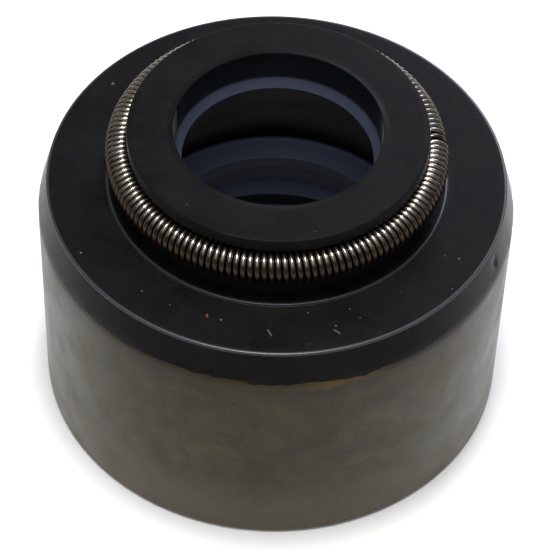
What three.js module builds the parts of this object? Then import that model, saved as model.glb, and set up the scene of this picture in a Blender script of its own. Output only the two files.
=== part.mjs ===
// A valve stem seal, which is pushed over the top of an engine's valve guide and wipes the valve's stem.
// It has three pieces: a drawn steel case, a rubber body moulded onto the case, and a garter spring.
// Sizes are in millimetres and +Z is up. The origin is the centre of the case's open rim, at z = 0.
import * as THREE from 'three';

// What the seal fits: the valve's stem and the outside of its guide.
const STEM_DIAMETER = 7.94;
const GUIDE_DIAMETER = 12.7;

// The drawn steel case, open below, with an inward flange at its top.
const CASE_HEIGHT = 10;
const CASE_WALL = 0.8;
const CASE_BEND_RADIUS = 1;
const SMALLEST_INNER_BEND = 0.1;
const CASE_FLANGE_WIDTH = 1.6;
const CASE_RIM_CHAMFER = 0.2;

// The rubber liner inside the case, which grips the guide.
const LINER_THICKNESS = 1.9;
const LINER_RECESS = 0.3;
const LEAD_IN_HEIGHT = 1;
const LEAD_IN_FLARE = 0.8;
const GUIDE_CLEARANCE = 0.25;
const RIB_INTERFERENCE = 0.2;
const RIBBED_LENGTH = 3.4;
const RIB_PITCH = 1.65;
const RIB_FACE = 0.3;
const RIB_LAND = 0.25;

// The stop that meets the guide's end, and the chamber above it.
const STOP_HEIGHT = 5.75;
const STOP_THICKNESS = 0.6;
const STOP_OVERLAP = 1.28;
const CHAMBER_SETBACK = 0.15;
const THROAT_CLEARANCE = 0.87;
const THROAT_DROP = 0.35;

// The sealing lip, and the bore above it on the oil side.
const LIP_INTERFERENCE = 0.29;
const OIL_BORE_CLEARANCE = 0.04;
const OIL_BORE_DEPTH = 1.3;
const OIL_CONE_ANGLE = THREE.MathUtils.degToRad(45);

// The rubber cover over the case's flange.
const COVER_THICKNESS = 0.7;
const COVER_DRAFT = 0.36;
const COVER_EDGE_ROUND = 0.12;
const COVER_EDGE_ANGLE = THREE.MathUtils.degToRad(24);

// The neck and the head, with the spring's groove between them.
const BOSS_WIDTH = 0.87;
const BOSS_RISE = 0.08;
const NECK_HEIGHT = 0.8;
const NECK_FILLET = 0.45;
const NECK_SETBACK = 0.04;
const HEAD_RIM_WIDTH = 1.78;
const HEAD_RIM_HEIGHT = 0.59;
const HEAD_EDGE_BREAK = 0.06;

// The garter spring: one wire, close wound, whose narrow end screws into its open end.
const WIRE_DIAMETER = 0.21;
const COIL_DIAMETER = 1.3;
const TURN_GAP = 0.013;
const GROOVE_DEPTH = 0.52;
const GROOVE_CLEARANCE = 0.03;
const JOINT_AZIMUTH = THREE.MathUtils.degToRad(4);
const JOINT_TURNS = 1.5;
const NIB_TURNS = 3;
const NIB_CLEARANCE = 0.05;

// How finely round shapes are faceted. The quarter step shifts the corners from one turn to the next.
const ROUND_SEGMENTS = 36;
const BEND_STEPS = 3;
const EDGE_STEPS = 2;
const FILLET_STEPS = 3;
const GROOVE_STEPS = 7;
const STEPS_PER_TURN = 6.25;
const WIRE_SIDES = 4;

// Radii worked out from the inside to the outside.
const lipRadius = STEM_DIAMETER / 2 - LIP_INTERFERENCE;
const oilBoreRadius = STEM_DIAMETER / 2 + OIL_BORE_CLEARANCE;
const throatRadius = STEM_DIAMETER / 2 + THROAT_CLEARANCE;
const headRadius = oilBoreRadius + HEAD_RIM_WIDTH;
const neckRadius = headRadius - NECK_SETBACK;
const bossRadius = neckRadius + BOSS_WIDTH;
const stopRadius = GUIDE_DIAMETER / 2 - STOP_OVERLAP;
const chamberRadius = GUIDE_DIAMETER / 2 - CHAMBER_SETBACK;
const ribRadius = GUIDE_DIAMETER / 2 - RIB_INTERFERENCE;
const linerRadius = GUIDE_DIAMETER / 2 + GUIDE_CLEARANCE;
const mouthRadius = ribRadius + LEAD_IN_FLARE;
const caseInnerRadius = linerRadius + LINER_THICKNESS;
const caseRadius = caseInnerRadius + CASE_WALL;
const caseHoleRadius = caseInnerRadius - CASE_FLANGE_WIDTH;
const coverRadius = caseRadius - COVER_DRAFT;

// The spring's coil and the groove that holds its inner half.
const coilRadius = (COIL_DIAMETER - WIRE_DIAMETER) / 2;
const nibRadius = coilRadius - WIRE_DIAMETER - NIB_CLEARANCE;
const grooveRadius = COIL_DIAMETER / 2 + GROOVE_CLEARANCE;
const ringRadius = headRadius - GROOVE_DEPTH + grooveRadius;
const grooveLowerAngle = -Math.acos((neckRadius - ringRadius) / grooveRadius);
const grooveUpperAngle = Math.acos((headRadius - ringRadius) / grooveRadius);

// Heights worked out from the rim upwards.
const firstRibHeight = LINER_RECESS + LEAD_IN_HEIGHT;
const ribRamp = RIB_PITCH - RIB_FACE - RIB_LAND;
const ribCount = Math.max(1, Math.floor(RIBBED_LENGTH / RIB_PITCH));
const chamberHeight = STOP_HEIGHT + STOP_THICKNESS;
const throatHeight = CASE_HEIGHT - THROAT_DROP;
const coverHeight = CASE_HEIGHT + COVER_THICKNESS;
const bossHeight = coverHeight + BOSS_RISE;
const neckTopHeight = coverHeight + NECK_HEIGHT;
const ringHeight = neckTopHeight - grooveRadius * Math.sin(grooveLowerAngle);
const headRimHeight = ringHeight + grooveRadius * Math.sin(grooveUpperAngle);
const headHeight = headRimHeight + HEAD_RIM_HEIGHT;
const oilBoreHeight = headHeight - OIL_BORE_DEPTH;
const lipHeight = oilBoreHeight - (oilBoreRadius - lipRadius) / Math.tan(OIL_CONE_ANGLE);

const QUARTER_TURN = Math.PI / 2;
const FULL_TURN = 2 * Math.PI;

/** Points [radius, height] along an arc, both ends included. */
function arc(centre, radius, from, to, steps) {
  return Array.from({ length: steps + 1 }, (_, i) => {
    const angle = from + ((to - from) * i) / steps;
    return [centre[0] + radius * Math.cos(angle), centre[1] + radius * Math.sin(angle)];
  });
}

/** A solid of revolution about Z. The outline's points run clockwise round the section, from outside up. */
function turned(outline) {
  const points = [...outline, outline[0]].map(([radius, height]) => new THREE.Vector2(radius, height));
  return new THREE.LatheGeometry(points, ROUND_SEGMENTS).rotateX(QUARTER_TURN);
}

/** The line where rubber and steel are bonded, from the cover's edge over the flange and down inside. */
function bondLine() {
  const outerCentre = [caseRadius - CASE_BEND_RADIUS, CASE_HEIGHT - CASE_BEND_RADIUS];
  const innerBend = Math.max(CASE_BEND_RADIUS - CASE_WALL, SMALLEST_INNER_BEND);
  const innerCentre = [caseInnerRadius - innerBend, CASE_HEIGHT - CASE_WALL - innerBend];
  return [
    ...arc(outerCentre, CASE_BEND_RADIUS, COVER_EDGE_ANGLE, QUARTER_TURN, BEND_STEPS),
    [caseHoleRadius, CASE_HEIGHT],
    [caseHoleRadius, CASE_HEIGHT - CASE_WALL],
    ...arc(innerCentre, innerBend, QUARTER_TURN, 0, EDGE_STEPS),
    [caseInnerRadius, LINER_RECESS],
  ];
}

/** The steel cup: a straight wall, a bend, and the inward flange that the rubber wraps. */
function caseOutline() {
  return [
    [caseRadius - CASE_RIM_CHAMFER, 0],
    [caseRadius, CASE_RIM_CHAMFER],
    [caseRadius, CASE_HEIGHT - CASE_BEND_RADIUS],
    ...bondLine(),
    [caseInnerRadius, 0],
  ];
}

/** The barbed ribs in the liner's bore: each has a long ramp below its crest and a short face above it. */
function ribs() {
  const points = [];
  for (let rib = 0; rib < ribCount; rib += 1) {
    const crest = firstRibHeight + rib * RIB_PITCH;
    if (rib > 0) points.push([linerRadius, crest - ribRamp]);
    points.push([ribRadius, crest], [linerRadius, crest + RIB_FACE]);
  }
  return points;
}

/** The inner wall, up through the guide's bore, the stop, the chamber, the lip and the oil-side bore. */
function boreWall() {
  return [
    [mouthRadius, LINER_RECESS],
    ...ribs(),
    [linerRadius, STOP_HEIGHT],
    [stopRadius, STOP_HEIGHT],
    [stopRadius, chamberHeight],
    [chamberRadius, chamberHeight],
    [throatRadius, throatHeight],
    [lipRadius, lipHeight],
    [oilBoreRadius, oilBoreHeight],
    [oilBoreRadius, headHeight - HEAD_EDGE_BREAK],
    [oilBoreRadius + HEAD_EDGE_BREAK, headHeight],
  ];
}

/** The outside of the head and the neck, down over the spring's groove to the low boss on the cover. */
function headWall() {
  const ringCentre = [ringRadius, ringHeight];
  const fillet = Math.min(NECK_FILLET, BOSS_WIDTH - BOSS_RISE, neckTopHeight - bossHeight);
  const filletCentre = [neckRadius + fillet, bossHeight + fillet];
  return [
    [headRadius - HEAD_EDGE_BREAK, headHeight],
    [headRadius, headHeight - HEAD_EDGE_BREAK],
    ...arc(ringCentre, grooveRadius, grooveUpperAngle, FULL_TURN + grooveLowerAngle, GROOVE_STEPS),
    ...arc(filletCentre, fillet, 2 * QUARTER_TURN, 3 * QUARTER_TURN, FILLET_STEPS),
    [bossRadius - BOSS_RISE / 2, bossHeight],
    [bossRadius, coverHeight],
  ];
}

/** The rounded top edge of the cover, from which its side slopes out to the edge on the case's bend. */
function coverEdge() {
  const centre = [coverRadius - COVER_EDGE_ROUND, coverHeight - COVER_EDGE_ROUND];
  return arc(centre, COVER_EDGE_ROUND, QUARTER_TURN, 0, EDGE_STEPS);
}

/** The rubber body: its bore wall, head and cover outside, and the bond line where the case is. */
function bodyOutline() {
  return [...bondLine().reverse(), ...coverEdge().reverse(), ...headWall().reverse(), ...boreWall().reverse()];
}

/** The wire's centre line: a helix bent into a ring, whose last turns shrink and enter the first ones. */
class GarterPath extends THREE.Curve {
  constructor() {
    super();
    const innerLength = FULL_TURN * (ringRadius - coilRadius);
    this.ringTurns = Math.floor(innerLength / (WIRE_DIAMETER + TURN_GAP));
    this.openTurns = this.ringTurns - JOINT_TURNS;
    this.allTurns = this.ringTurns + NIB_TURNS;
    this.startAzimuth = JOINT_AZIMUTH + (FULL_TURN * JOINT_TURNS) / (2 * this.ringTurns);
  }

  /** The directions at parameter t: outwards and along the ring, and away from the coil's own axis. */
  directions(t) {
    const turn = t * this.allTurns;
    const azimuth = this.startAzimuth + (FULL_TURN * turn) / this.ringTurns;
    const outwards = new THREE.Vector3(Math.cos(azimuth), Math.sin(azimuth), 0);
    const along = new THREE.Vector3(-Math.sin(azimuth), Math.cos(azimuth), 0);
    const away = outwards.clone().multiplyScalar(Math.cos(FULL_TURN * turn));
    away.z = Math.sin(FULL_TURN * turn);
    return { turn, outwards, along, away };
  }

  getPoint(t, target = new THREE.Vector3()) {
    const { turn, outwards, away } = this.directions(t);
    const shrink = THREE.MathUtils.clamp((turn - this.openTurns) / JOINT_TURNS, 0, 1);
    const radius = THREE.MathUtils.lerp(coilRadius, nibRadius, shrink);
    target.copy(outwards).multiplyScalar(ringRadius).addScaledVector(away, radius);
    target.z += ringHeight;
    return target;
  }

  /** Equal steps of a turn instead of equal lengths, so that every turn is cut alike. */
  getSpacedPoints(divisions) {
    return this.getPoints(divisions);
  }

  /** The wire's section stands square to the ring and points away from the coil's axis. */
  computeFrenetFrames(segments) {
    const frames = { tangents: [], normals: [], binormals: [] };
    for (let i = 0; i <= segments; i += 1) {
      const { along, away } = this.directions(i / segments);
      frames.normals.push(away);
      frames.binormals.push(along);
      frames.tangents.push(new THREE.Vector3().crossVectors(away, along));
    }
    return frames;
  }
}

/** The garter spring: the wire's section swept along its path. */
function springGeometry() {
  const path = new GarterPath();
  const corners = Array.from({ length: WIRE_SIDES }, (_, i) => {
    const angle = (FULL_TURN * i) / WIRE_SIDES;
    return new THREE.Vector2(Math.cos(angle), Math.sin(angle)).multiplyScalar(WIRE_DIAMETER / 2);
  });
  const steps = Math.round(path.allTurns * STEPS_PER_TURN);
  return new THREE.ExtrudeGeometry(new THREE.Shape(corners), { steps, bevelEnabled: false, extrudePath: path });
}

/** One named piece with its own finish. */
function piece(name, geometry, finish) {
  const mesh = new THREE.Mesh(geometry, new THREE.MeshStandardMaterial(finish));
  mesh.name = name;
  return mesh;
}

const seal = new THREE.Group();
seal.add(
  piece('metal_case', turned(caseOutline()), { color: 0x6a6057, roughness: 0.5, metalness: 0.7 }),
  piece('rubber_body', turned(bodyOutline()), { color: 0x1d1d21, roughness: 0.6, metalness: 0 }),
  piece('garter_spring', springGeometry(), { color: 0x8a8680, roughness: 0.3, metalness: 0.9 }),
);

export default seal;
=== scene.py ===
"""A valve stem seal, dressed for its portrait: steel case, moulded rubber body and garter spring.

The classes hold their sizes in millimetres. Meshes are made in metres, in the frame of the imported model.
"""
import logging
import math
from collections.abc import Callable, Sequence
from dataclasses import dataclass
from enum import Enum

import bpy
from mathutils import Matrix, Vector


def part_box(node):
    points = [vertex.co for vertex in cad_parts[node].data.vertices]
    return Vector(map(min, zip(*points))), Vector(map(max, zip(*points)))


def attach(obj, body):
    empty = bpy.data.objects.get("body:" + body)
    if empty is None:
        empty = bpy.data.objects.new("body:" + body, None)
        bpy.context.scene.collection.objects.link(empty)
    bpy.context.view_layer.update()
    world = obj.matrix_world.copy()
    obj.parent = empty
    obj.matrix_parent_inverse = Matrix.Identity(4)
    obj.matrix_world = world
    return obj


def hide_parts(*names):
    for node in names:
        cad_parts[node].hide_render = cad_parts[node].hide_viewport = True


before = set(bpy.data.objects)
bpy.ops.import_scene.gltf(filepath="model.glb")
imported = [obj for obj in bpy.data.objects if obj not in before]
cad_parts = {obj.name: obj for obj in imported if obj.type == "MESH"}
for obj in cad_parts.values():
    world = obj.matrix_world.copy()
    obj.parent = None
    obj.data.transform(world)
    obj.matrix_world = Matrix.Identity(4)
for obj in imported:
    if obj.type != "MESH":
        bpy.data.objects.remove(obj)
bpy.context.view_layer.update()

log = logging.getLogger("valve_stem_seal")

MM = 0.001
FULL_TURN = 2 * math.pi
QUARTER_TURN = math.pi / 2

# Two points are one when they are closer than this: in metres for a merge, in millimetres for a pick.
MERGE_GAP_M = 1e-8
PICK_GAP_MM = 1e-4
# A rounding takes at most this share of each side of its corner.
ROUNDING_SHARE = 0.48

Point = tuple[float, float]
Socket = bpy.types.NodeSocket


class Node(Enum):
    """The CAD nodes that the finished pieces stand for."""

    CASE = "metal_case"
    BODY = "rubber_body"
    SPRING = "garter_spring"


class Slot(Enum):
    """The record's material slots."""

    CASE = "case_steel"
    BODY = "seal_rubber"
    SPRING = "spring_steel"


def node_span(node: Node) -> tuple[float, float, float]:
    """Measure a CAD node.

    Args:
        node: the node to measure.

    Returns:
        Its outer radius, its lowest and its highest point, in millimetres.
    """
    low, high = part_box(node.value)
    return high.x / MM, low.z / MM, high.z / MM


# Outlines of turned shapes


@dataclass(frozen=True)
class Corner:
    """A corner of a section, as radius and height, with the radius that rounds it."""

    radius: float
    height: float
    blend: float = 0.0


def arc(centre: Point, radius: float, start: float, end: float, steps: int) -> list[Corner]:
    """Lay points along an arc of a section.

    Args:
        centre: the arc's centre, as radius and height.
        radius: the arc's radius.
        start: its first angle, from the outward direction, in radians.
        end: its last angle.
        steps: how many chords it is drawn with.

    Returns:
        The arc's points, both ends included.
    """
    angles = [start + (end - start) * i / steps for i in range(steps + 1)]
    return [Corner(centre[0] + radius * math.cos(a), centre[1] + radius * math.sin(a)) for a in angles]


def straight(start: Point, end: Point, steps: int) -> list[Corner]:
    """Lay points along a straight stretch, so that it can be bent or dented later.

    Args:
        start: its first end, as radius and height.
        end: its last end.
        steps: how many parts it is cut into.

    Returns:
        The points between the ends, which are left out.
    """
    shares = [i / steps for i in range(1, steps)]
    return [Corner(start[0] + (end[0] - start[0]) * s, start[1] + (end[1] - start[1]) * s) for s in shares]


def rounded(corners: Sequence[Corner], steps: int = 4) -> list[Point]:
    """Round the corners of a closed section.

    Args:
        corners: the section's corners in order. Those with no blend stay sharp.
        steps: how many chords each rounding is drawn with.

    Returns:
        The section's points, as radius and height.
    """
    points: list[Point] = []
    for i, corner in enumerate(corners):
        here = Vector((corner.radius, corner.height))
        if corner.blend == 0:
            points.append(here[:])
            continue
        before, after = corners[i - 1], corners[(i + 1) % len(corners)]
        back = Vector((before.radius, before.height)) - here
        ahead = Vector((after.radius, after.height)) - here
        half = back.angle(ahead) / 2
        room = min(ROUNDING_SHARE * back.length, ROUNDING_SHARE * ahead.length)
        reach = min(corner.blend / math.tan(half), room)
        radius = reach * math.tan(half)
        centre = here + (back.normalized() + ahead.normalized()).normalized() * radius / math.sin(half)
        first = here + back.normalized() * reach - centre
        last = here + ahead.normalized() * reach - centre
        points += [(centre + first.slerp(last, step / steps) * radius)[:] for step in range(steps + 1)]
    return points


# Shaping meshes with edit-mode operators


class Workpiece:
    """One mesh on the bench, which starts as a primitive and is shaped by operators."""

    def __init__(self, name: str) -> None:
        """Take the primitive that was added last, and keep its place in its mesh.

        Args:
            name: the name of the piece and of its mesh.
        """
        self.obj = bpy.context.object
        self.obj.name = name
        self.obj.data.name = name
        bpy.ops.object.transform_apply(location=True, rotation=True, scale=True)

    @classmethod
    def circle(cls, name: str, radius: float, centre: Vector, sides: int, tilt: float = 0.0) -> "Workpiece":
        """Start from a bare circle.

        Args:
            name: the piece's name.
            radius: the circle's radius.
            centre: its centre.
            sides: how many edges it has.
            tilt: its turn about X, in radians.

        Returns:
            The workpiece.
        """
        bpy.ops.object.select_all(action="DESELECT")
        bpy.ops.mesh.primitive_circle_add(
            vertices=sides, radius=radius * MM, location=centre * MM, rotation=(tilt, 0, 0)
        )
        return cls(name)

    @classmethod
    def pebble(cls, name: str, size: Vector, centre: Vector, turn: float) -> "Workpiece":
        """Start from a faceted pebble, longest along its own X.

        Args:
            name: the piece's name.
            size: its length, width and thickness.
            centre: its centre.
            turn: its turn about Z, in radians.

        Returns:
            The workpiece.
        """
        bpy.ops.object.select_all(action="DESELECT")
        bpy.ops.mesh.primitive_ico_sphere_add(
            subdivisions=2, radius=MM / 2, location=centre * MM, rotation=(0, 0, turn), scale=size
        )
        return cls(name)

    def activate(self) -> None:
        """Select this piece alone."""
        bpy.ops.object.select_all(action="DESELECT")
        self.obj.select_set(True)
        bpy.context.view_layer.objects.active = self.obj

    def pick(self, wanted: Callable[[Vector], bool]) -> None:
        """Select the vertices that pass a test.

        Args:
            wanted: the test, which is given a vertex's place in millimetres.
        """
        mesh = self.obj.data
        for element in (*mesh.polygons, *mesh.edges):
            element.select = False
        for vertex in mesh.vertices:
            vertex.select = wanted(vertex.co / MM)

    def edit(self, *steps: Callable[[], object]) -> None:
        """Run operators in edit mode on what is picked.

        Args:
            steps: the operators' calls, in order.
        """
        self.activate()
        bpy.ops.object.mode_set(mode="EDIT")
        bpy.ops.mesh.select_mode(type="VERT")
        for step in steps:
            step()
        bpy.ops.object.mode_set(mode="OBJECT")

    def close(self) -> None:
        """Merge doubles, cap what is open and turn all faces outwards."""
        self.edit(
            lambda: bpy.ops.mesh.select_all(action="SELECT"),
            lambda: bpy.ops.mesh.remove_doubles(threshold=MERGE_GAP_M),
            lambda: bpy.ops.mesh.select_all(action="DESELECT"),
            lambda: bpy.ops.mesh.select_non_manifold(),
            lambda: bpy.ops.mesh.fill_holes(sides=0),
            lambda: bpy.ops.mesh.select_all(action="SELECT"),
            lambda: bpy.ops.mesh.normals_make_consistent(inside=False),
        )

    def nudge(self, centre: Vector, move: Vector, reach: float) -> None:
        """Push the surface near a point, with a smooth falloff.

        Args:
            centre: the point of the surface to move.
            move: how far it moves.
            reach: how far around it the surface follows.
        """
        nearest = min(self.obj.data.vertices, key=lambda v: (v.co / MM - centre).length).co / MM
        self.pick(lambda place: (place - nearest).length < PICK_GAP_MM)
        self.edit(
            lambda: bpy.ops.transform.translate(
                value=move * MM,
                use_proportional_edit=True,
                proportional_edit_falloff="SMOOTH",
                proportional_size=reach * MM,
            )
        )

    def modify(self, kind: str, **settings: object) -> None:
        """Add one modifier and apply it.

        Args:
            kind: the modifier's type.
            settings: the modifier's settings.
        """
        self.activate()
        modifier = self.obj.modifiers.new(kind.lower(), kind)
        for name, value in settings.items():
            setattr(modifier, name, value)
        bpy.ops.object.modifier_apply(modifier=modifier.name)

    def ruffle(self, size: float, strength: float, direction: str = "NORMAL", group: str = "") -> None:
        """Displace it with cloudy noise.

        Args:
            size: how big the noise's lumps are.
            strength: the whole range of the movement.
            direction: the axis that it moves along.
            group: the vertex group that moves. Empty moves everything.
        """
        clouds = bpy.data.textures.new("clouds", "CLOUDS")
        clouds.noise_scale = size * MM
        clouds.noise_depth = 2
        self.modify(
            "DISPLACE", texture=clouds, texture_coords="LOCAL", direction=direction,
            vertex_group=group, strength=strength * MM, mid_level=0.5,
        )
        bpy.data.textures.remove(clouds)

    def absorb(self, others: Sequence["Workpiece"]) -> None:
        """Join other pieces into this one.

        Args:
            others: the pieces, which are gone afterwards.
        """
        self.activate()
        for other in others:
            other.obj.select_set(True)
        bpy.ops.object.join()

    def smooth(self, sharpest: float = 40.0) -> None:
        """Shade it smooth, except over edges sharper than an angle in degrees."""
        self.activate()
        bpy.ops.object.shade_smooth_by_angle(angle=math.radians(sharpest))

    def hand_over(self, material: bpy.types.Material, node: Node, slot: Slot) -> None:
        """Dress the piece and put it in the place of its CAD node.

        Args:
            material: its finish.
            node: the CAD node that it stands for.
            slot: the record's material slot. It is not used.
        """
        self.obj.data.materials.clear()
        self.obj.data.materials.append(material)
        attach(self.obj, "root")
        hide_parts(node.value)
        mesh = self.obj.data
        log.info("%s: %d vertices, %d faces", self.obj.name, len(mesh.vertices), len(mesh.polygons))


def turned(name: str, section: Sequence[Point], segments: int) -> Workpiece:
    """Turn a closed section about Z, ring by ring.

    Args:
        name: the piece's name.
        section: the section's points, as radius and height.
        segments: how many facets go round.

    Returns:
        The closed, turned workpiece.
    """
    first = section[0]
    piece = Workpiece.circle(name, first[0], Vector((0, 0, first[1])), segments)
    piece.activate()
    bpy.ops.object.mode_set(mode="EDIT")
    bpy.ops.mesh.select_mode(type="VERT")
    bpy.ops.mesh.select_all(action="SELECT")
    for here, there in zip(section, [*section[1:], first]):
        grow = there[0] / here[0]
        rise = (there[1] - here[1]) * MM
        bpy.ops.mesh.extrude_edges_move(TRANSFORM_OT_translate={"value": (0, 0, rise)})
        bpy.ops.transform.resize(value=(grow, grow, 1), center_override=(0, 0, 0))
    bpy.ops.object.mode_set(mode="OBJECT")
    piece.close()
    return piece


# Finishes


def linear(colour: str) -> tuple[float, float, float, float]:
    """Turn an sRGB hex colour into the linear colour that shaders take."""
    channels = [int(colour[i : i + 2], 16) / 255 for i in (1, 3, 5)]
    return (*[c / 12.92 if c <= 0.04045 else ((c + 0.055) / 1.055) ** 2.4 for c in channels], 1.0)


class Palette:
    """One material in the making: its nodes, and the patterns that it is mixed from."""

    def __init__(self, name: str) -> None:
        """Start a node material whose patterns follow the object's own coordinates.

        Args:
            name: the material's name.
        """
        self.material = bpy.data.materials.new(name)
        self.material.use_nodes = True
        self.tree = self.material.node_tree
        self.tree.nodes.clear()
        self.place = self.add("ShaderNodeTexCoord").outputs["Object"]

    def add(
        self, kind: str, inputs: dict[str | int, object] | None = None, **settings: object
    ) -> bpy.types.Node:
        """Add one node.

        Args:
            kind: the node's type.
            inputs: for each input, a value or the output that feeds it.
            settings: the node's own settings.

        Returns:
            The node.
        """
        node = self.tree.nodes.new(kind)
        for name, value in settings.items():
            setattr(node, name, value)
        for name, value in (inputs or {}).items():
            if isinstance(value, Socket):
                self.tree.links.new(value, node.inputs[name])
            else:
                node.inputs[name].default_value = value
        return node

    def noise(self, size: float, detail: float = 3.0, **inputs: object) -> Socket:
        """Noise whose lumps are about this many millimetres across."""
        settings = {"Vector": self.place, "Scale": 1 / (size * MM), "Detail": detail, **inputs}
        return self.add("ShaderNodeTexNoise", settings).outputs[0]

    def blend(self, share: object, first: object, second: object) -> Socket:
        """Mix two colours by a share."""
        inputs = {0: share, 6: first, 7: second}
        return self.add("ShaderNodeMix", inputs, data_type="RGBA", clamp_factor=True).outputs[2]

    def ramp(self, value: object, low: Point, high: Point) -> Socket:
        """Map a value, clamped, so that low[0] gives low[1] and high[0] gives high[1]."""
        inputs = {"Value": value, 1: low[0], 2: high[0], 3: low[1], 4: high[1]}
        return self.add("ShaderNodeMapRange", inputs).outputs[0]

    def sums(self, operation: str, *values: object) -> Socket:
        """Work out one value from others."""
        return self.add("ShaderNodeMath", dict(enumerate(values)), operation=operation).outputs[0]

    def height(self) -> Socket:
        """The height above the open rim."""
        return self.add("ShaderNodeSeparateXYZ", {0: self.place}).outputs["Z"]

    def radius(self) -> Socket:
        """The distance from the seal's axis."""
        flat = self.add("ShaderNodeVectorMath", {0: self.place, 1: (1, 1, 0)}, operation="MULTIPLY")
        return self.add("ShaderNodeVectorMath", {0: flat.outputs[0]}, operation="LENGTH").outputs["Value"]

    def upward(self) -> Socket:
        """How far the surface faces up: 1 on a level face, 0 on a wall."""
        normal = self.add("ShaderNodeNewGeometry").outputs["Normal"]
        return self.add("ShaderNodeSeparateXYZ", {0: normal}).outputs["Z"]

    def grazing(self, most: float) -> Socket:
        """How much gloss a surface gains as it turns away, up to a most."""
        face_on, side_on = 0.32, 0.95
        facing = self.add("ShaderNodeLayerWeight", {"Blend": 0.5}).outputs["Facing"]
        return self.ramp(facing, (face_on, 0), (side_on, most))

    def spread(self, pattern: Socket, ends: Point) -> Socket:
        """Spread a noise pattern, which seldom leaves 0.3 to 0.7, between two values."""
        return self.ramp(pattern, (0.3, ends[0]), (0.7, ends[1]))

    def nearness(self, centre: tuple[float, float, float], reach: float) -> Socket:
        """Fade out round a point.

        Args:
            centre: the point, in millimetres.
            reach: how far from it the fade ends.

        Returns:
            1 in the inner part of the reach, 0 beyond it.
        """
        core = 0.3 * reach
        inputs = {0: self.place, 1: tuple(value * MM for value in centre)}
        gap = self.add("ShaderNodeVectorMath", inputs, operation="DISTANCE").outputs["Value"]
        return self.ramp(gap, (core * MM, 1), (reach * MM, 0))

    def bump(self, height: object, depth: float, strength: float = 0.4) -> Socket:
        """Dent the surface by a pattern this many millimetres deep."""
        inputs = {"Height": height, "Strength": strength, "Distance": depth * MM}
        return self.add("ShaderNodeBump", inputs).outputs[0]

    def finish(self, **inputs: object) -> bpy.types.Material:
        """Close the material with one shader.

        Args:
            inputs: the shader's inputs, with underscores for the spaces in their names.

        Returns:
            The finished material.
        """
        named = {name.replace("_", " "): value for name, value in inputs.items()}
        shader = self.add("ShaderNodeBsdfPrincipled", named)
        self.add("ShaderNodeOutputMaterial", {0: shader.outputs[0]})
        return self.material


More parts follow.
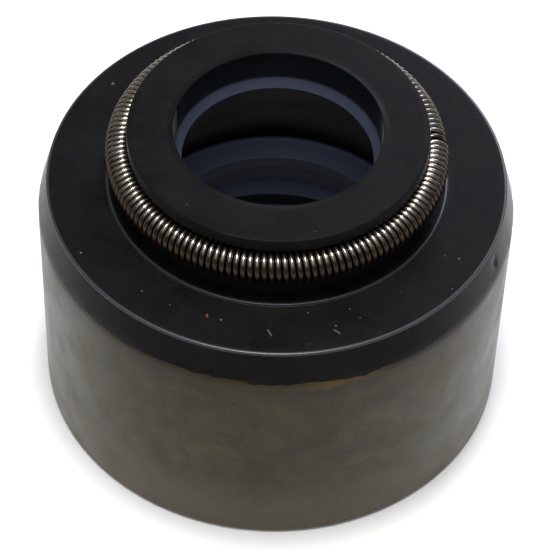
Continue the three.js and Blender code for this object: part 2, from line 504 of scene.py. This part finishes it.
@dataclass(frozen=True)
class MouldedRubber:
    """Oil-resistant rubber, compression moulded: near black from its carbon filler, softly satin."""

    edges: tuple[Point, ...]
    bore_radius: float
    bore_top: float
    bore_floor: float
    chamber_top: float
    liner_radius: float
    shade: str = "#08080a"
    bloom: str = "#0f0f11"
    warm: str = "#141109"
    # A painted highlight along the crisp edges.
    edge: str = "#26262b"
    # Painted light on the upward ledges inside the bore.
    ledge_light: str = "#636c86"
    dust: str = "#4d4740"
    roughness: Point = (0.42, 0.54)
    patch: float = 2.2
    mottle: float = 0.45
    grain: float = 0.11
    tool_mark: float = 0.16
    edge_width: float = 0.1
    edge_highlight_share: float = 0.8
    bloom_range: Point = (0.35, 0.65)
    warm_range: Point = (0.5, 0.7)
    warm_share: float = 0.8
    ledge_light_slope: Point = (-0.3, 0.75)
    ledge_light_at_top: float = 0.08
    dust_spacing: float = 0.7
    dust_size: Point = (0.03, 0.06)
    dust_chance: Point = (0.6, 0.95)
    dust_share: float = 0.8
    dust_slope: Point = (0.8, 0.95)
    tool_mark_share: float = 0.35
    relief: float = 0.016
    specular: float = 0.06
    sheen: float = 0.12
    sheen_roughness: float = 0.16
    grazing_gloss: float = 0.45
    gloss_roughness: float = 0.35

    def edge_mask(self, palette: Palette) -> Socket:
        """Mark the moulding's crisp edges, which are glossier than its faces and carry a painted highlight.

        Args:
            palette: the material in the making.

        Returns:
            1 on the edges, 0 away from them.
        """
        section = palette.add("ShaderNodeCombineXYZ", {0: palette.radius(), 1: palette.height()}).outputs[0]
        mask: object = 0.0
        for radius, height in self.edges:
            inputs = {0: section, 1: (radius * MM, height * MM, 0)}
            gap = palette.add("ShaderNodeVectorMath", inputs, operation="DISTANCE").outputs["Value"]
            near = palette.ramp(gap, (0.5 * self.edge_width * MM, 1), (self.edge_width * MM, 0))
            mask = palette.sums("MAXIMUM", mask, near)
        return mask

    def dust_mask(self, palette: Palette) -> Socket:
        """Mark a few grains of dust on what faces up.

        Args:
            palette: the material in the making.

        Returns:
            How much dust covers the rubber, from 0 to 1.
        """
        scale = 1 / (self.dust_spacing * MM)
        cells = palette.add("ShaderNodeTexVoronoi", {"Vector": palette.place, "Scale": scale})
        chance = palette.add("ShaderNodeSeparateColor", {0: cells.outputs["Color"]}).outputs[0]
        grain = palette.ramp(cells.outputs["Distance"], (self.dust_size[0], 1), (self.dust_size[1], 0))
        rarity = palette.ramp(chance, (self.dust_chance[0], 0), (self.dust_chance[1], self.dust_share))
        few = palette.sums("MULTIPLY", grain, rarity)
        level = palette.ramp(palette.upward(), (self.dust_slope[0], 0), (self.dust_slope[1], 1))
        return palette.sums("MULTIPLY", few, level)

    def ledge_light_mask(self, palette: Palette) -> Socket:
        """Mark the ledges inside the bore, which face up, for painted light: a bluish tone that stands in
        for the light reaching them.

        Args:
            palette: the material in the making.

        Returns:
            How strong the painted light is, from 0 to 1. It is stronger lower down.
        """
        radius, height = palette.radius(), palette.height()
        ledge = palette.ramp(palette.upward(), (self.ledge_light_slope[0], 0), (self.ledge_light_slope[1], 1))
        by_depth = palette.ramp(height, (self.bore_floor * MM, 1), (self.bore_top * MM, self.ledge_light_at_top))
        throat = palette.sums("LESS_THAN", radius, self.bore_radius * MM)
        low = palette.sums("LESS_THAN", height, self.chamber_top * MM)
        chamber = palette.sums("MULTIPLY", low, palette.sums("LESS_THAN", radius, self.liner_radius * MM))
        inside = palette.sums("MAXIMUM", throat, chamber)
        return palette.sums("MULTIPLY", palette.sums("MULTIPLY", ledge, by_depth), inside)

    def tone(self, palette: Palette, patches: Socket) -> Socket:
        """Black in soft patches, with a warmer mottle.

        Args:
            palette: the material in the making.
            patches: the pattern of the patches.

        Returns:
            The rubber's own colour.
        """
        share = palette.ramp(patches, (self.bloom_range[0], 0), (self.bloom_range[1], 1))
        black = palette.blend(share, linear(self.shade), linear(self.bloom))
        speckles = palette.noise(self.mottle, 4.0)
        mottle = palette.ramp(speckles, (self.warm_range[0], 0), (self.warm_range[1], self.warm_share))
        return palette.blend(mottle, black, linear(self.warm))

    def material(self) -> bpy.types.Material:
        """Mix mottled black with glossy edges that carry a painted highlight, painted light on the bore's
        ledges, the mould's fine turning marks and a little dust.

        Returns:
            The rubber's material.
        """
        palette = Palette("moulded_black_rubber")
        patches = palette.noise(self.patch, 5.0)
        edge = self.edge_mask(palette)
        outside = palette.sums("GREATER_THAN", palette.radius(), self.liner_radius * MM)
        shine = palette.sums("MULTIPLY", outside, palette.grazing(self.grazing_gloss))
        gloss = palette.sums("MAXIMUM", edge, shine)
        # Painted highlight on the edges.
        share = palette.sums("MULTIPLY", edge, self.edge_highlight_share)
        edge_lit = palette.blend(share, self.tone(palette, patches), linear(self.edge))
        # Painted light on the bore's ledges.
        ledge_lit = palette.blend(self.ledge_light_mask(palette), edge_lit, linear(self.ledge_light))
        inputs = {"W": palette.radius(), "Scale": 1 / (self.tool_mark * MM)}
        marks = palette.add("ShaderNodeTexNoise", inputs, noise_dimensions="1D").outputs[0]
        grain = palette.noise(self.grain, 2.0)
        relief = palette.sums("MULTIPLY_ADD", marks, self.tool_mark_share, grain)
        return palette.finish(
            Base_Color=palette.blend(self.dust_mask(palette), ledge_lit, linear(self.dust)),
            Roughness=palette.spread(patches, self.roughness),
            Normal=palette.bump(relief, self.relief),
            Specular_IOR_Level=self.specular,
            Sheen_Weight=self.sheen,
            Sheen_Roughness=self.sheen_roughness,
            Coat_Weight=gloss,
            Coat_Roughness=self.gloss_roughness,
        )


@dataclass(frozen=True)
class PhosphatedSteel:
    """Drawn sheet steel with a phosphate coat: brown-grey, mottled and oily, with primer by the rubber."""

    rubber_edge: float
    dark: str = "#231b08"
    light: str = "#383018"
    # Tide marks, and the painted shade under the rubber's edge.
    stain_and_shade: str = "#171105"
    # Speckles of wear, and painted light in the paler band by the rim.
    worn_and_lit: str = "#655c4d"
    primer: str = "#463700"
    roughness: Point = (0.3, 0.44)
    metallic: float = 0.4
    specular: float = 0.3
    patch: float = 1.8
    patch_range: Point = (0.36, 0.66)
    grain: float = 0.1
    grain_range: Point = (0.5, 0.8)
    grain_share: float = 0.15
    grain_depth: float = 0.006
    tide: float = 4.0
    tide_width: float = 0.05
    tide_level: float = 0.52
    tide_share: float = 0.35
    primer_depth: float = 0.32
    primer_fade: Point = (0.5, 1.3)
    primer_ragged: float = 0.7
    primer_swing: float = 2.4
    primer_range: Point = (0.4, 0.65)
    primer_share: float = 0.4
    primer_spot: tuple[float, float, float] = (2.7, -8.9, 9.2)
    primer_spot_reach: float = 2.0
    shadow_depth: float = 1.1
    shadow_share: float = 0.9
    lit_band_height: Point = (0.3, 3.2)
    lit_band_share: float = 0.45

    def mottled(self, palette: Palette) -> Socket:
        """Mix soft patches of brown and grey, a few tide marks, and painted light in a paler band by the
        rim.

        Args:
            palette: the material in the making.

        Returns:
            The steel's own colour.
        """
        patches = palette.noise(self.patch, 6.0, Roughness=0.62, Distortion=0.6)
        share = palette.ramp(patches, (self.patch_range[0], 0), (self.patch_range[1], 1))
        tone = palette.blend(share, linear(self.dark), linear(self.light))
        fine = palette.noise(self.grain)
        grain = palette.ramp(fine, (self.grain_range[0], 0), (self.grain_range[1], self.grain_share))
        speckled = palette.blend(grain, tone, linear(self.worn_and_lit))
        sweep = palette.noise(self.tide, 2.0, Distortion=0.8)
        offset = palette.sums("ABSOLUTE", palette.sums("SUBTRACT", sweep, self.tide_level))
        mark = palette.ramp(offset, (0, self.tide_share), (self.tide_width, 0))
        tide = palette.blend(mark, speckled, linear(self.stain_and_shade))
        # Painted light: paler towards the open rim.
        low, high = self.lit_band_height
        lit_band = palette.ramp(palette.height(), (low * MM, self.lit_band_share), (high * MM, 0))
        return palette.blend(lit_band, tide, linear(self.worn_and_lit))

    def primed(self, palette: Palette, steel: Socket) -> Socket:
        """Add the rubber's shade, and a ragged amber line of primer along its edge.

        Args:
            palette: the material in the making.
            steel: the steel's colour.

        Returns:
            The colour with both.
        """
        depth = self.primer_depth * MM
        below = palette.sums("SUBTRACT", self.rubber_edge * MM, palette.height())
        shade = palette.ramp(below, (0, self.shadow_share), (self.shadow_depth * MM, 0))
        shaded = palette.blend(shade, steel, linear(self.stain_and_shade))
        ragged = palette.sums("SUBTRACT", palette.noise(self.primer_ragged, 5.0, Roughness=0.7), 0.5)
        swing = palette.sums("MULTIPLY_ADD", ragged, self.primer_swing * depth, below)
        line = palette.ramp(swing, (self.primer_fade[0] * depth, 1), (self.primer_fade[1] * depth, 0))
        broad = palette.noise(3 * self.patch, 2.0)
        patchy = palette.ramp(broad, (self.primer_range[0], 0), (self.primer_range[1], self.primer_share))
        thick = palette.sums("MAXIMUM", patchy, palette.nearness(self.primer_spot, self.primer_spot_reach))
        return palette.blend(palette.sums("MULTIPLY", line, thick), shaded, linear(self.primer))

    def material(self) -> bpy.types.Material:
        """Put the mottled steel under a thin film of oil, which gives it a soft shine at its sides.

        Returns:
            The steel's material.
        """
        palette = Palette("phosphated_case_steel")
        gloss = palette.noise(self.patch, 4.0)
        return palette.finish(
            Base_Color=self.primed(palette, self.mottled(palette)),
            Metallic=self.metallic,
            Roughness=palette.spread(gloss, self.roughness),
            Normal=palette.bump(palette.noise(self.grain), self.grain_depth),
            Specular_IOR_Level=self.specular,
        )


@dataclass(frozen=True)
class SpringWire:
    """Hard-drawn spring wire, with painted light on top of the coil and painted shade browning its lower
    side.
    """

    middle: float
    # Painted light on top of the coil, and painted shade below it.
    lit_bright: str = "#968f86"
    shaded_dull: str = "#3d342b"
    roughness: Point = (0.2, 0.32)
    patch: float = 0.5
    fade: Point = (0.4, 0.62)
    unevenness: float = 0.2

    def material(self) -> bpy.types.Material:
        """Paint light on top of the coil, turning to brown painted shade lower down, in small uneven
        patches.

        Returns:
            The wire's material.
        """
        palette = Palette("drawn_spring_wire")
        patches = palette.sums("SUBTRACT", palette.noise(self.patch, 4.0), 0.5)
        rise = palette.sums("SUBTRACT", palette.height(), self.middle * MM)
        uneven = palette.sums("MULTIPLY_ADD", patches, self.unevenness * MM, rise)
        # Painted light and shade: 1 on top of the coil, 0 down its lower side.
        lit_share = palette.ramp(uneven, (self.fade[0] * MM, 0), (self.fade[1] * MM, 1))
        return palette.finish(
            Base_Color=palette.blend(lit_share, linear(self.shaded_dull), linear(self.lit_bright)),
            Metallic=1.0,
            Roughness=palette.ramp(lit_share, (0, self.roughness[1]), (1, self.roughness[0])),
        )


@dataclass(frozen=True)
class Lint:
    """Household dust and lint: matt, from pale grey to a reddish brown."""

    pale: str = "#5e574f"
    reddish: str = "#5e332b"
    reddish_range: Point = (0.8, 1.1)
    patch: float = 0.05
    unevenness: float = 0.4
    roughness: float = 0.9
    specular: float = 0.2

    def material(self) -> bpy.types.Material:
        """Give each grain a tone of its own, with a little unevenness in it.

        Returns:
            The lint's material.
        """
        palette = Palette("settled_lint")
        own = palette.add("ShaderNodeNewGeometry").outputs["Random Per Island"]
        uneven = palette.sums("MULTIPLY_ADD", palette.noise(self.patch), self.unevenness, own)
        share = palette.ramp(uneven, (self.reddish_range[0], 0), (self.reddish_range[1], 1))
        colour = palette.blend(share, linear(self.pale), linear(self.reddish))
        return palette.finish(
            Base_Color=colour, Roughness=self.roughness, Specular_IOR_Level=self.specular
        )


@dataclass(frozen=True)
class PaleCard:
    """Matt white card, on which the seal stands."""

    shade: str = "#f0f0ef"
    roughness: float = 0.9

    def material(self) -> bpy.types.Material:
        """Even, matt and nearly white."""
        return Palette("pale_card").finish(Base_Color=linear(self.shade), Roughness=self.roughness)


# The seal's pieces


@dataclass
class SteelCase:
    """The drawn cup, whose inward flange is buried in the rubber."""

    radius: float
    height: float
    wall: float = 0.8
    bend: float = 1.0
    flange: float = 1.6
    rim_round: float = 0.2
    rubber_edge: float = 9.33
    segments: int = 320

    @classmethod
    def from_frame(cls) -> "SteelCase":
        """Take the cup's outer size from its CAD node."""
        radius, _, height = node_span(Node.CASE)
        return cls(radius=radius, height=height)

    def section(self) -> list[Point]:
        """Draw the cup's wall, bend and flange.

        Returns:
            One closed section, as radius and height.
        """
        inner = self.radius - self.wall
        hole = inner - self.flange
        return rounded(
            [
                Corner(inner, 0, 0.1),
                Corner(self.radius, 0, self.rim_round),
                Corner(self.radius, self.height, self.bend),
                Corner(hole, self.height, 0.05),
                Corner(hole, self.height - self.wall, 0.05),
                Corner(inner, self.height - self.wall, self.bend - self.wall),
            ],
            steps=8,
        )

    def build(self) -> None:
        """Turn the cup and dress it."""
        piece = turned("case_shell", self.section(), self.segments)
        piece.smooth()
        piece.hand_over(PhosphatedSteel(self.rubber_edge).material(), Node.CASE, Slot.CASE)


@dataclass
class RubberBody:
    """The moulding: cover, neck and head outside, and the bore with its lip, chamber, stop and ribs."""

    case: SteelCase
    head_height: float
    ring_radius: float
    ring_height: float
    groove_radius: float = 0.68
    cover_height: float = 10.7
    cover_radius: float = 8.94
    head_radius: float = 5.79
    neck_setback: float = 0.04
    oil_bore: float = 4.01
    oil_bore_depth: float = 1.3
    lip_radius: float = 3.68
    throat: Point = (4.84, 9.65)
    chamber: Point = (6.2, 6.35)
    stop_radius: float = 5.07
    stop_height: float = 5.75
    liner_radius: float = 6.6
    rib_radius: float = 6.15
    rib_heights: tuple[float, ...] = (2.95, 1.3)
    rib_face: float = 0.3
    rib_ramp: float = 1.1
    mouth: Point = (6.95, 0.3)
    boss_radius: float = 6.62
    boss_rise: float = 0.08
    flash: float = 0.035
    waves: Point = (2.6, 0.45)
    frills: Point = (0.5, 0.28)
    segments: int = 576

    @classmethod
    def from_frame(cls, case: SteelCase, spring: "GarterSpring") -> "RubberBody":
        """Take the head's height from its CAD node and the groove's place from the spring."""
        _, _, head_height = node_span(Node.BODY)
        return cls(case, head_height, ring_radius=spring.ring_radius, ring_height=spring.ring_height)

    @property
    def face_height(self) -> float:
        """The height of the head's flat face, just below the flash round its hole."""
        return self.head_height - self.flash

    def bore(self) -> list[Corner]:
        """Draw the inner wall.

        Returns:
            Its corners, from the head's hole down to the liner's mouth.
        """
        oil_end = self.head_height - self.oil_bore_depth
        lip = oil_end - (self.oil_bore - self.lip_radius)
        ribs: list[Corner] = []
        for crest in self.rib_heights:
            ribs.append(Corner(self.liner_radius, crest + self.rib_face, 0.08))
            ribs.append(Corner(self.rib_radius, crest, 0.06))
            if crest != self.rib_heights[-1]:
                ribs.append(Corner(self.liner_radius, crest - self.rib_ramp, 0.3))
        return [
            Corner(self.oil_bore, self.face_height, 0.02),
            Corner(self.oil_bore, oil_end, 0.15),
            Corner(self.lip_radius, lip, 0.06),
            Corner(*self.throat, 0.5),
            Corner(*self.chamber, 0.15),
            Corner(self.stop_radius, self.chamber[1], 0.06),
            Corner(self.stop_radius, self.stop_height, 0.05),
            Corner(self.liner_radius, self.stop_height, 0.1),
            *ribs,
            Corner(*self.mouth, 0.05),
        ]

    def bond(self) -> list[Corner]:
        """Draw the hidden side, a hair inside the steel so that no gap shows.

        Returns:
            Its corners, from the mouth up to the top of the flange.
        """
        sink = 0.01
        inner = self.case.radius - self.case.wall + sink
        hole = inner - self.case.flange
        under = self.case.height - self.case.wall
        return [
            Corner(inner, self.mouth[1]),
            Corner(inner, under, self.case.bend - self.case.wall),
            Corner(hole, under, 0.05),
            Corner(hole, self.case.height, 0.05),
            Corner(self.case.radius - self.case.bend, self.case.height - sink),
        ]

    def outside(self) -> list[Corner]:
        """Draw the cover's side and top, the boss, the neck, the groove and the head.

        Returns:
            Their corners, from the cover's lower edge to the flash round the head's hole.
        """
        neck = self.head_radius - self.neck_setback
        reach = math.acos((self.head_radius - self.ring_radius) / self.groove_radius)
        dip = math.acos((neck - self.ring_radius) / self.groove_radius)
        groove = arc((self.ring_radius, self.ring_height), self.groove_radius, FULL_TURN - dip, reach, 18)
        boss_top = self.cover_height + self.boss_rise
        tip = (self.case.radius - 0.002, self.case.rubber_edge)
        return [
            Corner(self.case.radius - 0.08, self.case.rubber_edge),
            Corner(*tip, 0.02),
            *straight(tip, (self.cover_radius, self.cover_height), 6),
            Corner(self.cover_radius, self.cover_height, 0.07),
            *straight((self.cover_radius, self.cover_height), (self.boss_radius, self.cover_height), 6),
            Corner(self.boss_radius + 0.03, self.cover_height, 0.02),
            Corner(self.boss_radius, boss_top, 0.03),
            Corner(neck, boss_top, 0.45),
            *groove,
            Corner(self.head_radius, self.face_height, 0.07),
            *straight((self.head_radius, self.face_height), (self.oil_bore, self.face_height), 6),
            Corner(self.oil_bore + 0.1, self.face_height),
            Corner(self.oil_bore + 0.04, self.head_height),
            Corner(self.oil_bore + 0.02, self.head_height),
        ]

    def finish(self) -> MouldedRubber:
        """Choose the rubber's finish.

        Returns:
            Rubber that is glossy on the cover's and the boss's crisp edges, with a painted highlight there,
            and with painted light on the ledges inside the bore.
        """
        edges = (
            (self.cover_radius - 0.02, self.cover_height - 0.02),
            (self.boss_radius, self.cover_height + self.boss_rise),
        )
        return MouldedRubber(
            edges=edges,
            bore_radius=self.oil_bore + 0.01,
            bore_top=self.head_height - 0.1,
            bore_floor=self.chamber[1],
            chamber_top=self.throat[1],
            liner_radius=self.liner_radius + 0.1,
        )

    def fray_edge(self, piece: Workpiece) -> None:
        """Let the cover's lower edge wander up and down over the steel, as thin flash does.

        Args:
            piece: the turned moulding.
        """
        lowest_side = self.case.rubber_edge + 0.1
        outermost = self.case.radius - 0.2
        skirt = [
            v.index for v in piece.obj.data.vertices
            if v.co.z < lowest_side * MM and v.co.to_2d().length > outermost * MM
        ]
        # The group goes by its name: applying a modifier frees the group that Python holds.
        edge = "edge"
        piece.obj.vertex_groups.new(name=edge).add(skirt, 1.0, "REPLACE")
        for size, strength in (self.waves, self.frills):
            piece.ruffle(size, strength, "Z", edge)
        piece.obj.vertex_groups.clear()

    def wear(self, piece: Workpiece) -> None:
        """Press in the nicks that the photo shows, in the cover's side and in the hole's rim.

        Args:
            piece: the turned moulding.
        """
        side = Vector((8.38, -3.47, 10.0))
        rim = Vector((-3.88, 0.94, self.head_height))
        depth, side_reach, rim_reach = 0.1, 0.3, 0.25
        piece.nudge(side, -depth * side.normalized(), side_reach)
        piece.nudge(rim, Vector((-0.04, 0.01, -0.05)), rim_reach)

    def build(self) -> None:
        """Turn the moulding, add the marks of its making and its life, and dress it."""
        section = rounded([*self.outside(), *self.bore(), *self.bond()])
        piece = turned("rubber_moulding", section, self.segments)
        self.fray_edge(piece)
        self.wear(piece)
        piece.smooth(50)
        piece.hand_over(self.finish().material(), Node.BODY, Slot.BODY)


@dataclass
class GarterSpring:
    """One wire, close wound and bent into a ring, whose narrowed end screws into its open end."""

    ring_radius: float
    ring_height: float
    wire: float = 0.21
    coil: float = 1.3
    turn_gap: float = 0.013
    joint_azimuth: float = math.radians(4)
    start_phase: float = math.pi
    joint_turns: float = 0.5
    taper_turns: float = 8.0
    taper: float = 0.05
    nib_turns: int = 3
    nib_clearance: float = 0.02
    sides: int = 12
    steps: int = 20

    @classmethod
    def from_frame(cls) -> "GarterSpring":
        """Take the ring's place from its CAD node."""
        outer, low, high = node_span(Node.SPRING)
        return cls(ring_radius=outer - cls.coil / 2, ring_height=(low + high) / 2)

    @property
    def coil_radius(self) -> float:
        """The radius of the wire's centre line round the coil's axis."""
        return (self.coil - self.wire) / 2

    @property
    def ring_turns(self) -> int:
        """How many turns fill the ring, wound wire to wire on its inner side."""
        return math.floor(FULL_TURN * (self.ring_radius - self.coil_radius) / (self.wire + self.turn_gap))

    @property
    def pitch(self) -> float:
        """The length of one turn along the coil's axis."""
        return FULL_TURN * self.ring_radius / self.ring_turns

    def wind(self) -> Workpiece:
        """Wind the straight coil about Z, nib included.

        Returns:
            The coil, whose cut end comes to lie on the ring's inner side.
        """
        turns = self.ring_turns + self.nib_turns
        start = Vector((math.cos(self.start_phase), math.sin(self.start_phase), 0)) * self.coil_radius
        piece = Workpiece.circle("garter_coil", self.wire / 2, start, self.sides, tilt=QUARTER_TURN)
        piece.modify(
            "SCREW", axis="Z", angle=turns * FULL_TURN, screw_offset=turns * self.pitch * MM,
            steps=turns * self.steps, render_steps=turns * self.steps, use_merge_vertices=False,
        )
        return piece

    def narrowing(self, turn: float) -> float:
        """Work out how far the wire has moved in: a slow taper, then the joint.

        Args:
            turn: the turn, counted from the wire's start.

        Returns:
            The move towards the coil's axis.
        """
        joint = self.ring_turns - self.joint_turns
        tapered = min(1.0, max(0.0, (turn - joint + self.taper_turns) / self.taper_turns))
        joined = min(1.0, max(0.0, (turn - joint) / self.joint_turns))
        return tapered * self.taper + joined * (self.wire + self.nib_clearance - self.taper)

    def narrow_nib(self, piece: Workpiece) -> None:
        """Narrow the coil's last turns, section by section.

        Args:
            piece: the straight coil.
        """
        for vertex in piece.obj.data.vertices:
            section = vertex.index // self.sides
            angle = self.start_phase + FULL_TURN * section / self.steps
            outwards = Vector((math.cos(angle), math.sin(angle), 0))
            vertex.co -= outwards * self.narrowing(section / self.steps) * MM

    def close_ring(self, piece: Workpiece) -> None:
        """Lay the coil along X, bend it into the ring, and set its joint where the photo shows it.

        Args:
            piece: the straight coil, with its nib.
        """
        piece.pick(lambda place: True)
        piece.edit(
            lambda: bpy.ops.transform.rotate(value=QUARTER_TURN, orient_axis="Z", center_override=(0, 0, 0)),
            lambda: bpy.ops.transform.rotate(value=QUARTER_TURN, orient_axis="Y", center_override=(0, 0, 0)),
        )
        turns = self.ring_turns + self.nib_turns
        piece.modify(
            "SIMPLE_DEFORM", deform_method="BEND", deform_axis="Z", angle=FULL_TURN * turns / self.ring_turns
        )
        half_joint = FULL_TURN * self.joint_turns / (2 * self.ring_turns)
        turn = self.joint_azimuth - half_joint + QUARTER_TURN
        centre = Vector((0, self.ring_radius, 0)) * MM
        lift = Matrix.Translation((0, 0, self.ring_height * MM))
        piece.obj.data.transform(lift @ Matrix.Rotation(turn, 4, "Z") @ Matrix.Translation(-centre))

    def build(self) -> None:
        """Wind, narrow, bend and dress the spring."""
        piece = self.wind()
        self.narrow_nib(piece)
        piece.close()
        self.close_ring(piece)
        piece.smooth(60)
        piece.hand_over(SpringWire(self.ring_height).material(), Node.SPRING, Slot.SPRING)


@dataclass(frozen=True)
class Grain:
    """A speck or a fibre: where it lies, its length and width, and its direction in degrees."""

    x: float
    y: float
    length: float
    width: float
    direction: float = 0.0


@dataclass
class SettledDust:
    """The pale specks and fibres on the cover and the head, where the photo shows them."""

    cover_height: float
    head_height: float
    on_cover: tuple[Grain, ...] = (
        Grain(-2.41, -7.21, 0.2, 0.12, 80),
        Grain(-1.88, -7.38, 0.11, 0.08, 60),
        Grain(-0.07, -7.92, 0.42, 0.05, -63),
        Grain(2.37, -7.48, 0.08, 0.08),
        Grain(2.4, -7.74, 0.4, 0.05, -34),
        Grain(6.46, -3.85, 0.08, 0.05, 20),
        Grain(6.99, -3.98, 0.1, 0.08),
        Grain(6.7, -5.48, 0.07, 0.06),
        Grain(-4.88, -6.11, 0.1, 0.08),
        Grain(-7.29, -4.33, 0.1, 0.09),
        Grain(-6.68, 4.68, 0.15, 0.12, 30),
        Grain(-3.81, -6.74, 0.07, 0.06),
        Grain(1.33, -6.9, 0.08, 0.06, 45),
        Grain(2.88, -6.64, 0.07, 0.05),
        Grain(3.26, -7.05, 0.07, 0.05, 10),
    )
    on_head: tuple[Grain, ...] = (
        Grain(1.47, -5.22, 0.07, 0.06),
        Grain(-3.3, -4.1, 0.06, 0.04, 50),
    )

    def lay(self, grain: Grain, height: float) -> Workpiece:
        """Shape one grain and lay it on a face.

        Args:
            grain: the grain.
            height: the face's height.

        Returns:
            The grain, lumpy and sunk a third into the face.
        """
        thickness = 0.5 * grain.width
        size = Vector((grain.length, grain.width, thickness))
        centre = Vector((grain.x, grain.y, height + thickness / 6))
        piece = Workpiece.pebble("grain", size, centre, math.radians(grain.direction))
        lump = 0.04
        piece.ruffle(lump, thickness)
        return piece

    def build(self) -> None:
        """Shape every grain, join them and dress them."""
        grains = [self.lay(grain, self.cover_height) for grain in self.on_cover]
        grains += [self.lay(grain, self.head_height) for grain in self.on_head]
        piece = grains[0]
        piece.absorb(grains[1:])
        piece.obj.name = "settled_dust"
        piece.smooth(60)
        piece.hand_over(Lint().material(), Node.BODY, Slot.BODY)


# The stage


@dataclass(frozen=True)
class Softbox:
    """A square studio lamp that looks at the seal."""

    name: str
    place: tuple[float, float, float]
    side: float
    power: float
    tint: tuple[float, float, float] = (1.0, 1.0, 1.0)

    def build(self, target: Vector) -> None:
        """Hang the lamp and turn it to its target.

        Args:
            target: the point that it looks at, in millimetres.
        """
        lamp = bpy.data.lights.new(self.name, "AREA")
        lamp.color = self.tint
        lamp.shape = "SQUARE"
        lamp.size = self.side * MM
        lamp.energy = self.power
        holder = bpy.data.objects.new(self.name, lamp)
        holder.location = Vector(self.place) * MM
        holder.rotation_euler = (target * MM - holder.location).to_track_quat("-Z", "Y").to_euler()
        bpy.context.scene.collection.objects.link(holder)


@dataclass
class Studio:
    """A pale floor, soft lamps and the camera of the photo."""

    floor_side: float = 1200.0
    ambient: float = 0.3
    focal_pixels: float = 2663.5
    frame_pixels: int = 550
    sensor: float = 36.0
    distance: float = 107.8
    elevation: float = math.radians(49.22)
    roll: float = math.radians(1.98)
    aim: tuple[float, float, float] = (0.054, 0.0, 4.794)
    lamps: tuple[Softbox, ...] = (
        Softbox("overhead", (-5, 0, 330), 85, 1.15),
        Softbox("front_fill", (-20, -180, 360), 300, 0.28),
        Softbox("back_glow", (35, 100, 75), 50, 0.07, (0.8, 0.8, 1.0)),
    )

    def floor(self) -> None:
        """Lay the floor under the case's rim."""
        bpy.ops.object.select_all(action="DESELECT")
        bpy.ops.mesh.primitive_plane_add(size=self.floor_side * MM)
        card = bpy.context.object
        card.name = "floor"
        card.data.materials.append(PaleCard().material())

    def light(self) -> None:
        """Hang the lamps and set the pale surroundings."""
        world = bpy.data.worlds.new("surroundings")
        bpy.context.scene.world = world
        world.use_nodes = True
        background = world.node_tree.nodes["Background"]
        background.inputs["Color"].default_value = (1, 1, 1, 1)
        background.inputs["Strength"].default_value = self.ambient
        for lamp in self.lamps:
            lamp.build(Vector(self.aim))

    def camera(self) -> None:
        """Stand the camera where the photo was taken from."""
        lens = bpy.data.cameras.new("portrait")
        lens.sensor_width = self.sensor
        lens.lens = self.focal_pixels / self.frame_pixels * self.sensor
        lens.clip_start = 10 * MM
        back = Vector((0, -math.cos(self.elevation), math.sin(self.elevation)))
        upright = Vector((0, math.sin(self.elevation), math.cos(self.elevation)))
        right = Vector((1, 0, 0)) * math.cos(self.roll) + upright * math.sin(self.roll)
        up = back.cross(right)
        turn = Matrix((right, up, back)).transposed().to_4x4()
        holder = bpy.data.objects.new("portrait", lens)
        holder.matrix_world = Matrix.Translation((Vector(self.aim) + back * self.distance) * MM) @ turn
        bpy.context.scene.collection.objects.link(holder)
        bpy.context.scene.camera = holder

    def build(self) -> None:
        """Set up the floor, the light and the camera."""
        self.floor()
        self.light()
        self.camera()
        bpy.context.scene.view_settings.view_transform = "Standard"
        log.info("studio: %d lamps, lens %.0f mm", len(self.lamps), bpy.context.scene.camera.data.lens)


def main() -> None:
    """Build the seal and its stage."""
    logging.basicConfig(level=logging.INFO, format="%(name)s %(message)s")
    case = SteelCase.from_frame()
    spring = GarterSpring.from_frame()
    body = RubberBody.from_frame(case, spring)
    dust = SettledDust(body.cover_height, body.face_height)
    for part in (case, body, spring, dust):
        part.build()
    Studio().build()


if __name__ == "__main__":
    main()
